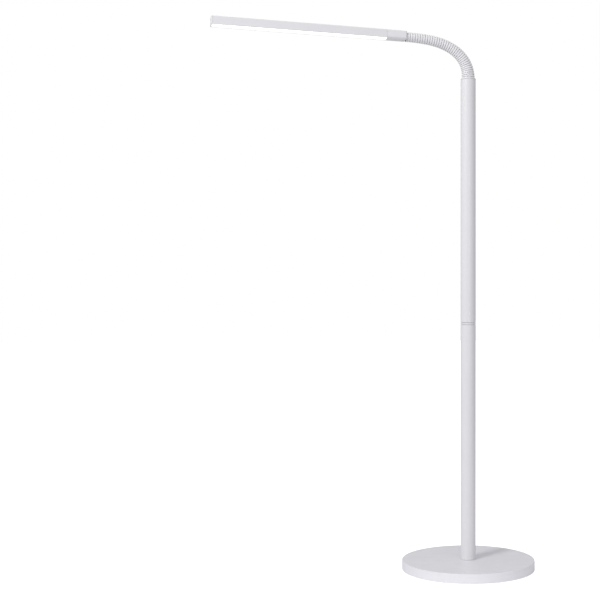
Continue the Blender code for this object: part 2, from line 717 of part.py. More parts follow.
def power_button(pivot):
    """The push button: a domed cap with a flange that keeps it under the lid."""
    _, high = head_levels()
    flange_top = button_flange_top(high)
    flange_low = flange_top - BUTTON_FLANGE
    flange_radius = BUTTON_RADIUS + 0.0012
    profile = [
        (0.0, flange_low), (flange_radius, flange_low), (flange_radius, flange_top),
        (BUTTON_RADIUS, flange_top), (BUTTON_RADIUS, high + 0.0004), (BUTTON_RADIUS - 0.0005, high + 0.0009),
        (0.0, high + 0.0011),
    ]
    shape = turned(profile, 24, centre=(BUTTON_X, 0.0, 0.0))
    make_part("power_button", shape, "white_plastic", pivot)


# ---- joints ------------------------------------------------------------------------------
def add_pivot(name, place, parent=None):
    """An empty on a joint's axis, carried by the joint before it."""
    empty = bpy.data.objects.new(name, None)
    empty.empty_display_size = 0.01
    bpy.context.collection.objects.link(empty)
    if parent is not None:
        empty.parent = parent["empty"]
        empty.location = place - parent["at"]
    else:
        empty.location = place
    return {"empty": empty, "at": place}


def build_neck():
    """The sleeve and core links. Each link after the first turns about the one before."""
    pivot = None
    for index in range(NECK_LINKS):
        if index > 0:
            place = neck_point(neck_station(index / NECK_LINKS))
            pivot = add_pivot("neck_pivot_%02d" % index, place, pivot)
        make_part("neck_sleeve_%02d" % (index + 1), sleeve_link(index), "white_sleeve", pivot)
        make_part("neck_core_%02d" % (index + 1), core_link(index), "steel", pivot)
    return pivot


def build():
    clear_scene()
    base_pad()
    base_cover()
    ballast_plate()
    base_grommet()
    pole_fixing()
    pole_sections()
    pole_collar()
    supply_lead()
    head_pivot = build_neck()
    bpy.context.view_layer.update()
    head_channel(head_pivot)
    tip_cap(head_pivot)
    diffuser(head_pivot)
    led_board(head_pivot)
    head_holder(head_pivot)
    holder_fittings(head_pivot)
    holder_lid(head_pivot)
    driver_and_switch(head_pivot)
    _, high = head_levels()
    power_button(add_pivot("button_pivot", Vector((BUTTON_X, 0.0, high)), head_pivot))


build()
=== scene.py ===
import math
import bmesh
import bpy
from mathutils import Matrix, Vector


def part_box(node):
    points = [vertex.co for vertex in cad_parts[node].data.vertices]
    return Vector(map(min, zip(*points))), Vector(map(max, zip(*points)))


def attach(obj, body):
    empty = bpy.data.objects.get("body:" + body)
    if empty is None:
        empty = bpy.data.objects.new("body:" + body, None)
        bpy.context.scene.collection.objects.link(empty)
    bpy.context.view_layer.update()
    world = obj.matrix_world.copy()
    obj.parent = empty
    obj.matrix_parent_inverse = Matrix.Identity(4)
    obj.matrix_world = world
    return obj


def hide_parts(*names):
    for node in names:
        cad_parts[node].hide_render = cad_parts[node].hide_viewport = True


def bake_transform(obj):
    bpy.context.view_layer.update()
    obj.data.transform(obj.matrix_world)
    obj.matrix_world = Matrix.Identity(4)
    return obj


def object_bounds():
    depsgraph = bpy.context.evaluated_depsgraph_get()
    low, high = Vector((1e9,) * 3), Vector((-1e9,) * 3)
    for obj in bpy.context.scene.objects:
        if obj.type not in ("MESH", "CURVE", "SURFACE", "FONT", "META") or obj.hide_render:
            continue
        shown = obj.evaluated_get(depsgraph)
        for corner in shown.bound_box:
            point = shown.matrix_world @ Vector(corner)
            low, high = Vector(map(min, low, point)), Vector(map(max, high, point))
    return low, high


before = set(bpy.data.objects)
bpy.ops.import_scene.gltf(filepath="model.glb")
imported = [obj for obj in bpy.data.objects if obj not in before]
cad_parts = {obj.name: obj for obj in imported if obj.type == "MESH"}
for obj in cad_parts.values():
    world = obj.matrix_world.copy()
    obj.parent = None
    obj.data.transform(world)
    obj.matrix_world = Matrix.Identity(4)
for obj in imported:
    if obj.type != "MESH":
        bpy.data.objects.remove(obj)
cad_low, cad_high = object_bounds()

# ---- Camera ------------------------------------------------------------------------------
# A level camera a little under half the lamp's height, in front of it and to the light bar's
# side. The frame is shifted instead of tilted, so the pole stays upright and the base level.
bpy.ops.object.camera_add(
    location=(-0.7785, -2.2924, 0.5549), rotation=(math.radians(90), 0, math.radians(-16.2))
)
camera = bpy.context.active_object
camera.name = "camera"
camera.data.lens = 64.04
camera.data.shift_x = -0.2008
camera.data.shift_y = 0.0388
bpy.context.scene.camera = camera


# ---- Base cover --------------------------------------------------------------------------
# A flat dish pressed from 1.5 mm sheet steel, open underneath, with an eased top edge and an
# inlet hole low in its back wall. It is powder coated white, and a stud clamps it to the pole.
def open_piece(name):
    """Names the primitive just added, puts its place in its mesh and opens it to be shaped."""
    piece = bpy.context.active_object
    piece.name = name
    piece.data.name = name
    bpy.ops.object.transform_apply(location=True, rotation=True, scale=True)
    bpy.ops.object.mode_set(mode="EDIT")
    bpy.ops.mesh.select_mode(type="VERT")
    return piece


def close_piece(piece):
    """Merges doubled corners, turns the faces outwards and leaves edit mode."""
    bpy.ops.mesh.select_all(action="SELECT")
    bpy.ops.mesh.remove_doubles(threshold=1e-6)
    bpy.ops.mesh.normals_make_consistent(inside=False)
    bpy.ops.object.mode_set(mode="OBJECT")
    return piece


def pick(piece, kind, test):
    """Selects only the faces or the edges whose middle and direction pass the test."""
    bpy.ops.mesh.select_mode(type=kind)
    bpy.ops.mesh.select_all(action="DESELECT")
    shape = bmesh.from_edit_mesh(piece.data)
    if kind == "FACE":
        for face in shape.faces:
            face.select_set(test(face.calc_center_median(), face.normal))
    else:
        for edge in shape.edges:
            first, second = (corner.co for corner in edge.verts)
            edge.select_set(test((first + second) / 2, (second - first).normalized()))
    shape.select_flush_mode()
    bmesh.update_edit_mesh(piece.data)


def add_modifier(piece, kind, **settings):
    """Adds a modifier with these settings and applies it."""
    modifier = piece.modifiers.new(kind.lower(), kind)
    for setting, value in settings.items():
        setattr(modifier, setting, value)
    bpy.context.view_layer.objects.active = piece
    bpy.ops.object.modifier_apply(modifier=modifier.name)


def shade(piece, smooth_under=32):
    """Shades round surfaces smooth, and lets flat faces stay flat up to their rounded edges."""
    bpy.ops.object.select_all(action="DESELECT")
    piece.select_set(True)
    bpy.context.view_layer.objects.active = piece
    bpy.ops.object.shade_smooth_by_angle(angle=math.radians(smooth_under))
    add_modifier(piece, "WEIGHTED_NORMAL", keep_sharp=True)


def cut_away(piece, cutter):
    """Takes the cutter's shape out of the piece, and the cutter out of the scene."""
    add_modifier(piece, "BOOLEAN", object=cutter, operation="DIFFERENCE", solver="EXACT")
    bpy.data.objects.remove(cutter)


def new_group(name, inputs, outputs):
    """A shader node group with named sockets, and its two end nodes."""
    group = bpy.data.node_groups.new(name, "ShaderNodeTree")
    for label, kind, value in inputs:
        socket = group.interface.new_socket(label, in_out="INPUT", socket_type="NodeSocket" + kind)
        socket.default_value = value
    for label, kind in outputs:
        group.interface.new_socket(label, in_out="OUTPUT", socket_type="NodeSocket" + kind)
    return group, group.nodes.new("NodeGroupInput"), group.nodes.new("NodeGroupOutput")


def join(tree, source, target):
    """Links an output socket to an input socket."""
    tree.links.new(source, target)


def noise_node(tree, position, scale, detail):
    """A noise texture on this position, with its size from a number or from a socket."""
    noise = tree.nodes.new("ShaderNodeTexNoise")
    noise.inputs["Detail"].default_value = detail
    join(tree, position, noise.inputs["Vector"])
    if isinstance(scale, bpy.types.NodeSocket):
        join(tree, scale, noise.inputs["Scale"])
    else:
        noise.inputs["Scale"].default_value = scale
    return noise.outputs["Fac"]


def spread(tree, value, low, high, to_low=0.0, to_high=1.0):
    """Stretches a value from low..high to to_low..to_high, each a number or a socket."""
    ranged = tree.nodes.new("ShaderNodeMapRange")
    join(tree, value, ranged.inputs["Value"])
    for label, end in (("From Min", low), ("From Max", high), ("To Min", to_low), ("To Max", to_high)):
        if isinstance(end, bpy.types.NodeSocket):
            join(tree, end, ranged.inputs[label])
        else:
            ranged.inputs[label].default_value = end
    return ranged.outputs["Result"]


def blend_colours(tree, share, first, second):
    """Mixes two colours, each a colour or a socket, by a share from 0 to 1."""
    mix = tree.nodes.new("ShaderNodeMix")
    mix.data_type = "RGBA"
    join(tree, share, mix.inputs["Factor"])
    for label, colour in (("A", first), ("B", second)):
        socket = next(s for s in mix.inputs if s.name == label and s.type == "RGBA")
        if isinstance(colour, bpy.types.NodeSocket):
            join(tree, colour, socket)
        else:
            socket.default_value = (*colour, 1.0)
    return next(s for s in mix.outputs if s.type == "RGBA")


def calculate(tree, operation, first, second=0.0):
    """One sum on two values, each a number or a socket, kept between 0 and 1."""
    node = tree.nodes.new("ShaderNodeMath")
    node.operation = operation
    node.use_clamp = True
    for socket, value in zip(node.inputs, (first, second)):
        if isinstance(value, bpy.types.NodeSocket):
            join(tree, value, socket)
        else:
            socket.default_value = value
    return node.outputs["Value"]


# Grain: the cloudy shade, the roughness and the fine height of a coated or moulded surface.
grain_group, grain_in, grain_out = new_group(
    "surface_grain",
    [
        ("Position", "Vector", (0, 0, 0)), ("Colour", "Color", (0.8, 0.8, 0.8, 1)),
        ("Shade", "Color", (0.7, 0.7, 0.7, 1)), ("Patch Scale", "Float", 20.0),
        ("Grain Scale", "Float", 600.0), ("Least Rough", "Float", 0.3), ("Most Rough", "Float", 0.5),
    ],
    [("Colour", "Color"), ("Roughness", "Float"), ("Height", "Float")],
)
patches = noise_node(grain_group, grain_in.outputs["Position"], grain_in.outputs["Patch Scale"], 3.0)
grains = noise_node(grain_group, grain_in.outputs["Position"], grain_in.outputs["Grain Scale"], 2.0)
join(grain_group, blend_colours(
    grain_group, spread(grain_group, patches, 0.35, 0.7),
    grain_in.outputs["Colour"], grain_in.outputs["Shade"],
), grain_out.inputs["Colour"])
patch_and_grain = calculate(
    grain_group, "ADD", calculate(grain_group, "MULTIPLY", patches, 0.6),
    calculate(grain_group, "MULTIPLY", grains, 0.4),
)
join(grain_group, spread(
    grain_group, patch_and_grain, 0.35, 0.65,
    grain_in.outputs["Least Rough"], grain_in.outputs["Most Rough"],
), grain_out.inputs["Roughness"])
join(grain_group, grains, grain_out.inputs["Height"])

# Worn edges: a mask that is strong where the surface turns sharply, broken up by noise.
edge_group, edge_in, edge_out = new_group(
    "worn_edges",
    [
        ("Position", "Vector", (0, 0, 0)), ("Colour", "Color", (0.8, 0.8, 0.8, 1)),
        ("Edge Colour", "Color", (0.9, 0.9, 0.9, 1)), ("Width", "Float", 0.0006),
        ("Amount", "Float", 0.5),
    ],
    [("Colour", "Color"), ("Mask", "Float")],
)
rounded = edge_group.nodes.new("ShaderNodeBevel")
rounded.samples = 4
join(edge_group, edge_in.outputs["Width"], rounded.inputs["Radius"])
flat = edge_group.nodes.new("ShaderNodeNewGeometry")
facing = edge_group.nodes.new("ShaderNodeVectorMath")
facing.operation = "DOT_PRODUCT"
join(edge_group, rounded.outputs["Normal"], facing.inputs[0])
join(edge_group, flat.outputs["Normal"], facing.inputs[1])
turning = spread(edge_group, facing.outputs["Value"], 0.995, 0.86)
scuffs = spread(edge_group, noise_node(edge_group, edge_in.outputs["Position"], 260.0, 4.0), 0.35, 0.6)
edge_mask = calculate(
    edge_group, "MULTIPLY", calculate(edge_group, "MULTIPLY", turning, scuffs), edge_in.outputs["Amount"]
)
join(edge_group, edge_mask, edge_out.inputs["Mask"])
join(edge_group, blend_colours(
    edge_group, edge_mask, edge_in.outputs["Colour"], edge_in.outputs["Edge Colour"]
), edge_out.inputs["Colour"])

# Settled dust: a thin cloudy film on the faces that look up.
dust_group, dust_in, dust_out = new_group(
    "settled_dust",
    [
        ("Position", "Vector", (0, 0, 0)), ("Colour", "Color", (0.8, 0.8, 0.8, 1)),
        ("Dust Colour", "Color", (0.6, 0.58, 0.55, 1)), ("Amount", "Float", 0.1),
    ],
    [("Colour", "Color"), ("Mask", "Float")],
)
surface = dust_group.nodes.new("ShaderNodeNewGeometry")
parts = dust_group.nodes.new("ShaderNodeSeparateXYZ")
join(dust_group, surface.outputs["Normal"], parts.inputs["Vector"])
upwards = spread(dust_group, parts.outputs["Z"], 0.7, 1.0)
clouds = spread(dust_group, noise_node(dust_group, dust_in.outputs["Position"], 38.0, 6.0), 0.4, 0.72)
dust_mask = calculate(
    dust_group, "MULTIPLY", calculate(dust_group, "MULTIPLY", upwards, clouds), dust_in.outputs["Amount"]
)
join(dust_group, dust_mask, dust_out.inputs["Mask"])
join(dust_group, blend_colours(
    dust_group, dust_mask, dust_in.outputs["Colour"], dust_in.outputs["Dust Colour"]
), dust_out.inputs["Colour"])


def place_group(tree, group, values, links):
    """Puts a node group in a material with its own values and links."""
    node = tree.nodes.new("ShaderNodeGroup")
    node.node_tree = group
    for label, value in values.items():
        node.inputs[label].default_value = (*value, 1.0) if isinstance(value, tuple) else value
    for label, socket in links.items():
        join(tree, socket, node.inputs[label])
    return node


def new_material(name, shader_values):
    """A material with the shader's uniform values, its tree and its position socket."""
    material = bpy.data.materials.new(name)
    material.use_nodes = True
    tree = material.node_tree
    shader = tree.nodes["Principled BSDF"]
    for label, value in shader_values.items():
        shader.inputs[label].default_value = value
    position = tree.nodes.new("ShaderNodeTexCoord").outputs["Object"]
    return material, tree, shader, position


def raise_surface(tree, shader, height, strength, distance):
    """Feeds a height to the shader's normal through a bump node."""
    bump = tree.nodes.new("ShaderNodeBump")
    bump.inputs["Strength"].default_value = strength
    bump.inputs["Distance"].default_value = distance
    join(tree, height, bump.inputs["Height"])
    join(tree, bump.outputs["Normal"], shader.inputs["Normal"])


def coated(name, colour, shade, edge, patch_scale, grain_scale, roughness, bump, dust, gloss):
    """A coated or moulded finish: cloudy shade, fine grain, softened edges and a little dust."""
    material, tree, shader, position = new_material(name, {"IOR": 1.5, **gloss})
    grain = place_group(tree, grain_group, {
        "Colour": colour, "Shade": shade, "Patch Scale": patch_scale, "Grain Scale": grain_scale,
        "Least Rough": roughness[0], "Most Rough": roughness[1],
    }, {"Position": position})
    edges = place_group(tree, edge_group, {"Edge Colour": edge, "Width": 0.0006, "Amount": 0.55}, {
        "Position": position, "Colour": grain.outputs["Colour"],
    })
    dusty = place_group(tree, dust_group, {"Amount": dust}, {
        "Position": position, "Colour": edges.outputs["Colour"],
    })
    join(tree, dusty.outputs["Colour"], shader.inputs["Base Color"])
    join(tree, calculate(
        tree, "ADD", grain.outputs["Roughness"], calculate(tree, "MULTIPLY", dusty.outputs["Mask"], 0.5)
    ), shader.inputs["Roughness"])
    raise_surface(tree, shader, grain.outputs["Height"], bump[0], bump[1])
    return material


def fit_out(piece, material, body, nodes):
    """Shades a piece, gives it its material and its body, and hides the CAD nodes it stands for."""
    shade(piece)
    piece.data.materials.clear()
    piece.data.materials.append(material)
    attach(piece, body)
    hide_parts(*nodes)


white_enamel = coated(
    "white_enamel", colour=(0.865, 0.861, 0.882), shade=(0.85, 0.846, 0.869), edge=(0.88, 0.88, 0.89),
    patch_scale=14.0, grain_scale=620.0, roughness=(0.34, 0.42), bump=(0.22, 0.00010), dust=0.10,
    gloss={"Coat Weight": 0.15, "Coat Roughness": 0.25},
)
cover_low, cover_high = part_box("base_cover")
base_radius = cover_high.x
base_top = cover_high.z
base_steel = 0.0015
inlet_radius = 0.0050
inlet_height = (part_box("base_grommet")[0].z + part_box("base_grommet")[1].z) / 2
stud_hole = 0.0060
cover_round = 0.0013

bpy.ops.object.select_all(action="DESELECT")
bpy.ops.mesh.primitive_cylinder_add(
    vertices=192, radius=base_radius, depth=base_top - cover_low.z,
    location=(0, 0, (base_top + cover_low.z) / 2),
)
base_cover = open_piece("cover_of_base")
pick(base_cover, "FACE", lambda place, facing: facing.z < -0.9)
bpy.ops.mesh.delete(type="FACE")
pick(base_cover, "EDGE", lambda place, along: place.z > base_top - 1e-5)
bpy.ops.mesh.bevel(offset=cover_round, segments=5, affect="EDGES")
pick(base_cover, "FACE", lambda place, facing: facing.z > 0.999)
bpy.ops.mesh.inset(thickness=base_radius - cover_round - stud_hole)
bpy.ops.mesh.delete(type="FACE")
close_piece(base_cover)
add_modifier(base_cover, "SOLIDIFY", thickness=base_steel, offset=-1.0)
bpy.ops.mesh.primitive_cylinder_add(
    vertices=40, radius=inlet_radius, depth=0.02, location=(0, base_radius, inlet_height),
    rotation=(math.radians(90), 0, 0),
)
cut_away(base_cover, bpy.context.active_object)
fit_out(base_cover, white_enamel, "stand", ["base_cover"])


# ---- Base pad ----------------------------------------------------------------------------
# A disc of closed-cell foam, 3 mm thick, die cut and glued under the ballast inside the
# cover's rim. The lamp stands on it.
foam, foam_tree, foam_shader, foam_position = new_material("base_foam", {"IOR": 1.45})
foam_cells = foam_tree.nodes.new("ShaderNodeTexVoronoi")
foam_cells.inputs["Scale"].default_value = 900.0
join(foam_tree, foam_position, foam_cells.inputs["Vector"])
cell_depth = spread(foam_tree, foam_cells.outputs["Distance"], 0.1, 0.6)
foam_clouds = noise_node(foam_tree, foam_position, 45.0, 4.0)
join(foam_tree, blend_colours(
    foam_tree, calculate(foam_tree, "MULTIPLY", cell_depth, foam_clouds),
    (0.30, 0.30, 0.31), (0.42, 0.42, 0.43),
), foam_shader.inputs["Base Color"])
join(foam_tree, spread(foam_tree, foam_clouds, 0.3, 0.7, 0.82, 0.95), foam_shader.inputs["Roughness"])
raise_surface(foam_tree, foam_shader, cell_depth, 0.6, 0.0003)

pad_low, pad_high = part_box("base_pad")
bpy.ops.mesh.primitive_cylinder_add(
    vertices=160, radius=pad_high.x, depth=pad_high.z - pad_low.z,
    location=(0, 0, (pad_high.z + pad_low.z) / 2),
)
base_pad = open_piece("foam_pad_of_base")
pick(base_pad, "EDGE", lambda place, along: place.z < pad_low.z + 1e-5)
bpy.ops.mesh.bevel(offset=0.0008, segments=3, affect="EDGES")
pick(base_pad, "FACE", lambda place, facing: facing.z < -0.999)
bpy.ops.mesh.inset(thickness=0.004)
bpy.ops.mesh.inset(thickness=0.001, depth=0.0002)
close_piece(base_pad)
fit_out(base_pad, foam, "stand", ["base_pad"])


# ---- Cord inlet --------------------------------------------------------------------------
# A moulded rubber grommet in the cover's back wall. Its two lips hold it in the hole, and a
# mains lead would enter through its bore.
def turn(name, outline, steps, centre=(0, 0, 0), axis=(0, 0, 1)):
    """Draws half a section, as (radius, place along the axis), and spins it round the axis."""
    axis = Vector(axis)
    outwards = Vector((1, 0, 0)) if abs(axis.x) < 0.5 else Vector((0, 1, 0))
    corners = [Vector(centre) + radius * outwards + along * axis for radius, along in outline]
    bpy.ops.mesh.primitive_plane_add(size=0.001, location=corners[0])
    piece = open_piece(name)
    bpy.ops.mesh.merge(type="CENTER")
    for start, end in zip(corners, corners[1:] + corners[:1]):
        bpy.ops.mesh.extrude_region_move(TRANSFORM_OT_translate={"value": end - start})
    bpy.ops.mesh.select_all(action="SELECT")
    bpy.ops.mesh.remove_doubles(threshold=1e-6)
    bpy.ops.mesh.spin(steps=steps, angle=2 * math.pi, center=centre, axis=axis)
    return close_piece(piece)


def arc(radius_to, along_to, size, start, end, steps=5):
    """Points of a rounded corner about a centre, from one angle to another in degrees."""
    angles = [math.radians(start + (end - start) * step / steps) for step in range(steps + 1)]
    return [(radius_to + size * math.cos(a), along_to + size * math.sin(a)) for a in angles]


rubber = coated(
    "grey_rubber", colour=(0.045, 0.045, 0.048), shade=(0.06, 0.06, 0.062), edge=(0.11, 0.11, 0.11),
    patch_scale=90.0, grain_scale=1800.0, roughness=(0.6, 0.8), bump=(0.35, 0.0001), dust=0.2,
    gloss={"Specular IOR Level": 0.35},
)
grommet_low, grommet_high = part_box("base_grommet")
fit_gap = 0.0003
wall_outside = base_radius + fit_gap
wall_inside = base_radius - base_steel - 2 * fit_gap
grommet_lip = 0.0062
grommet_bore = 0.0028
grommet_round = 0.0006
grommet_outline = (
    [(grommet_bore, grommet_low.y), (grommet_lip, grommet_low.y), (grommet_lip, wall_inside)]
    + [(inlet_radius - fit_gap, wall_inside), (inlet_radius - fit_gap, wall_outside)]
    + [(grommet_lip, wall_outside)]
    + arc(grommet_lip - grommet_round, grommet_high.y - grommet_round, grommet_round, 0, 90)
    + arc(grommet_bore + grommet_round, grommet_high.y - grommet_round, grommet_round, 90, 180)
)
grommet = turn("inlet_grommet", grommet_outline, 48, centre=(0, 0, inlet_height), axis=(0, 1, 0))
fit_out(grommet, rubber, "stand", ["base_grommet"])


# ---- Ballast and pole fixing -------------------------------------------------------------
# A cast cement disc inside the cover gives the lamp its weight. A hollow threaded stud, its
# washer and its nut clamp the pole's foot plug to the cover, and all of them are plated steel.
def dress(nodes, material):
    """Gives CAD nodes that stay as they are their full material."""
    for node in nodes:
        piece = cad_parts[node]
        piece.data.materials.clear()
        piece.data.materials.append(material)


cement, cement_tree, cement_shader, cement_position = new_material("cast_cement", {"IOR": 1.5})
cement_grit = noise_node(cement_tree, cement_position, 420.0, 8.0)
cement_stains = noise_node(cement_tree, cement_position, 24.0, 5.0)
join(cement_tree, blend_colours(
    cement_tree, calculate(cement_tree, "MULTIPLY", cement_grit, cement_stains),
    (0.28, 0.27, 0.25), (0.52, 0.51, 0.48),
), cement_shader.inputs["Base Color"])
join(cement_tree, spread(cement_tree, cement_grit, 0.3, 0.7, 0.8, 0.98), cement_shader.inputs["Roughness"])
raise_surface(cement_tree, cement_shader, cement_grit, 0.5, 0.0004)
dress(["ballast_plate"], cement)

steel, steel_tree, steel_shader, steel_position = new_material("bright_steel", {"Metallic": 1.0})
drawn_lines = steel_tree.nodes.new("ShaderNodeMapping")
drawn_lines.inputs["Scale"].default_value = (1.0, 1.0, 0.08)
join(steel_tree, steel_position, drawn_lines.inputs["Vector"])
steel_lines = noise_node(steel_tree, drawn_lines.outputs["Vector"], 2200.0, 3.0)
steel_grain = place_group(steel_tree, grain_group, {
    "Colour": (0.60, 0.60, 0.61), "Shade": (0.48, 0.48, 0.50), "Patch Scale": 160.0, "Grain Scale": 1500.0,
    "Least Rough": 0.24, "Most Rough": 0.4,
}, {"Position": steel_position})
steel_edges = place_group(steel_tree, edge_group, {
    "Edge Colour": (0.78, 0.78, 0.78), "Width": 0.0003, "Amount": 0.6,
}, {"Position": steel_position, "Colour": steel_grain.outputs["Colour"]})
join(steel_tree, steel_edges.outputs["Colour"], steel_shader.inputs["Base Color"])
join(steel_tree, steel_grain.outputs["Roughness"], steel_shader.inputs["Roughness"])
raise_surface(steel_tree, steel_shader, steel_lines, 0.15, 0.00005)
cores = ["neck_core_%02d" % number for number in range(1, 13)]
dress([
    "pole_stud", "stud_washer", "stud_nut", "pole_foot_plug", "pole_joiner", "neck_lock_nut",
    "head_ferrule", *cores,
], steel)

jacket = coated(
    "lead_jacket", colour=(0.62, 0.62, 0.60), shade=(0.56, 0.56, 0.54), edge=(0.7, 0.7, 0.7),
    patch_scale=120.0, grain_scale=1500.0, roughness=(0.45, 0.6), bump=(0.2, 0.00008), dust=0.0, gloss={},
)
dress(["supply_lead", "led_lead"], jacket)


# ---- Pole --------------------------------------------------------------------------------
# Two drawn steel tubes, powder coated white with a glossier coat than the base. Their white is
# painted darker than the base's, as painted shade. Each end is eased, and the tubes meet end to
# end at a ring that slides on an inner joiner.
tube_enamel_with_painted_shade = coated(
    "tube_enamel_with_painted_shade", colour=(0.785, 0.782, 0.794), shade=(0.77, 0.767, 0.78), edge=(0.82, 0.82, 0.83),
    patch_scale=14.0, grain_scale=620.0, roughness=(0.36, 0.44), bump=(0.18, 0.00008), dust=0.04,
    gloss={"Coat Weight": 0.3, "Coat Roughness": 0.14},
)
pole_wall = 0.0015
end_break = 0.0004


def pole_tube(name, node):
    """One tube from its CAD node's box, open at both ends, with eased ends."""
    low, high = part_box(node)
    outer = high.x
    inner = outer - pole_wall
    outline = (
        [(inner, low.z)] + arc(outer - end_break, low.z + end_break, end_break, -90, 0, 3)
        + arc(outer - end_break, high.z - end_break, end_break, 0, 90, 3) + [(inner, high.z)]
    )
    tube = turn(name, outline, 96)
    fit_out(tube, tube_enamel_with_painted_shade, "stand", [node])


pole_tube("tube_of_lower_pole", "lower_pole")
pole_tube("tube_of_upper_pole", "upper_pole")
pole_tube("ring_between_tubes", "joint_ring")

collar_low, collar_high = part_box("pole_collar")
pole_radius = collar_high.x
collar_bore = 0.0055
plug_radius = pole_radius - pole_wall - fit_gap
flange = 0.0026
collar_round = 0.0014
plug_lead_in = 0.0008
collar_outline = (
    [(collar_bore, collar_low.z), (plug_radius - plug_lead_in, collar_low.z)]
    + [(plug_radius, collar_low.z + plug_lead_in), (plug_radius, collar_high.z - flange)]
    + [(pole_radius, collar_high.z - flange)]
    + arc(pole_radius - collar_round, collar_high.z - collar_round, collar_round, 0, 90, 8)
    + [(collar_bore, collar_high.z)]
)
collar = turn("collar_on_pole", collar_outline, 96)
fit_out(collar, tube_enamel_with_painted_shade, "stand", ["pole_collar"])


# ---- Neck sleeve -------------------------------------------------------------------------
# A corrugated sleeve of soft white plastic over the bendable steel core, wide at the pole and
# narrow at the light bar. It is made in lengths from the middle of one link to the middle of
# the next.
neck_length = 0.1904
neck_links = 12
neck_turn = math.radians(90)
neck_turn_length = 0.0754
neck_turn_power = 1.36
neck_end_radius = 0.0102
neck_root_swell = 0.0048
neck_swell_length = 0.085
pitch_spread = 0.12
rib_height = 0.0022
sleeve_wall = 0.0012
ribs_per_link = 3
rings_per_rib = 12
neck_root = Vector((0, 0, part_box("neck_sleeve_01")[0].z))


def neck_angle(distance):
    """How far the neck has turned from upright at this distance along it."""
    turned = 1 - math.exp(-((distance / neck_turn_length) ** neck_turn_power))
    return neck_turn * turned / (1 - math.exp(-((neck_length / neck_turn_length) ** neck_turn_power)))


def neck_point(distance, steps=240):
    """The middle of the neck at this distance along it."""
    point = neck_root.copy()
    step = distance / steps
    for number in range(steps):
        angle = neck_angle((number + 0.5) * step)
        point += step * Vector((-math.sin(angle), 0, math.cos(angle)))
    return point


def neck_distance(share):
    """Distance along the neck for a share of its ribs: the ribs stand closer at the pole."""
    return neck_length * (share * (1 - pitch_spread) + pitch_spread * share * share)


def sleeve_radius(share):
    """The sleeve's outer radius: rounded crests with narrow grooves between them."""
    crest = neck_end_radius + neck_root_swell * math.exp(-neck_distance(share) / neck_swell_length)
    phase = (share * neck_links * ribs_per_link) % 1.0
    return crest - rib_height * (2 * abs(phase - round(phase))) ** 4.0


def sleeve_length(name, first_share, last_share):
    """Draws one length of sleeve ring by ring: each ring is extruded, turned and sized."""
    count = round((last_share - first_share) * neck_links * ribs_per_link * rings_per_rib)
    shares = [first_share + (last_share - first_share) * step / count for step in range(count + 1)]
    distances = [neck_distance(share) for share in shares]
    middles = [neck_point(distance) for distance in distances]
    angles = [neck_angle(distance) for distance in distances]
    radii = [sleeve_radius(share) for share in shares]
    bpy.ops.mesh.primitive_circle_add(
        vertices=56, radius=radii[0], location=middles[0], rotation=(0, -angles[0], 0)
    )
    sleeve = open_piece(name)
    for step in range(count):
        bpy.ops.mesh.extrude_region_move(
            TRANSFORM_OT_translate={"value": middles[step + 1] - middles[step]}
        )
        bpy.ops.transform.rotate(
            value=angles[step + 1] - angles[step], orient_axis="Y", center_override=middles[step + 1]
        )
        size = radii[step + 1] / radii[step]
        bpy.ops.transform.resize(value=(size, size, size), center_override=middles[step + 1])
    close_piece(sleeve)
    depth = sleeve.data.attributes.new("groove", "FLOAT", "POINT")
    along = [Vector((-math.sin(angle), 0, math.cos(angle))) for angle in angles]
    for corner in sleeve.data.vertices:
        ring = min(range(count + 1), key=lambda r: abs((corner.co - middles[r]).dot(along[r])))
        crest = neck_end_radius + neck_root_swell * math.exp(-distances[ring] / neck_swell_length)
        depth.data[corner.index].value = min(1.0, max(0.0, (crest - radii[ring]) / rib_height))
    return sleeve


sleeve_plastic, sleeve_tree, sleeve_shader, sleeve_position = new_material(
    "white_sleeve", {"IOR": 1.48}
)
sleeve_grain = place_group(sleeve_tree, grain_group, {
    "Colour": (0.87, 0.87, 0.875), "Shade": (0.84, 0.84, 0.85), "Patch Scale": 55.0, "Grain Scale": 1400.0,
    "Least Rough": 0.42, "Most Rough": 0.58,
}, {"Position": sleeve_position})
groove = sleeve_tree.nodes.new("ShaderNodeAttribute")
groove.attribute_name = "groove"
# Painted shade: the sleeve's colour turns grey down in the grooves, the more the deeper they are.
groove_painted_shade = calculate(
    sleeve_tree, "MULTIPLY", calculate(sleeve_tree, "POWER", groove.outputs["Fac"], 1.5),
    spread(sleeve_tree, noise_node(sleeve_tree, sleeve_position, 90.0, 3.0), 0.2, 0.7, 0.8, 1.0),
)
join(sleeve_tree, blend_colours(
    sleeve_tree, groove_painted_shade, sleeve_grain.outputs["Colour"], (0.56, 0.56, 0.57)
), sleeve_shader.inputs["Base Color"])
join(sleeve_tree, calculate(
    sleeve_tree, "ADD", sleeve_grain.outputs["Roughness"],
    calculate(sleeve_tree, "MULTIPLY", groove.outputs["Fac"], 0.2),
), sleeve_shader.inputs["Roughness"])
raise_surface(sleeve_tree, sleeve_shader, sleeve_grain.outputs["Height"], 0.25, 0.00008)

half_link = 0.5 / neck_links
lengths = [(0.0, half_link)]
lengths += [((k - 0.5) / neck_links, (k + 0.5) / neck_links) for k in range(1, neck_links)]
lengths.append((1 - half_link, 1.0))
for number, (first_share, last_share) in enumerate(lengths):
    sleeve = sleeve_length("sleeve_length_%02d" % (number + 1), first_share, last_share)
    add_modifier(sleeve, "SOLIDIFY", thickness=sleeve_wall, offset=-1.0)
    shade(sleeve, smooth_under=60)
    sleeve.data.materials.append(sleeve_plastic)
    if number == 0:
        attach(sleeve, "stand")
    elif number == neck_links:
        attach(sleeve, "head")
    else:
        neck_point(neck_distance(first_share))
        neck_point(neck_distance(last_share))
        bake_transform(sleeve)
    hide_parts("neck_sleeve_%02d" % min(number + 1, neck_links))


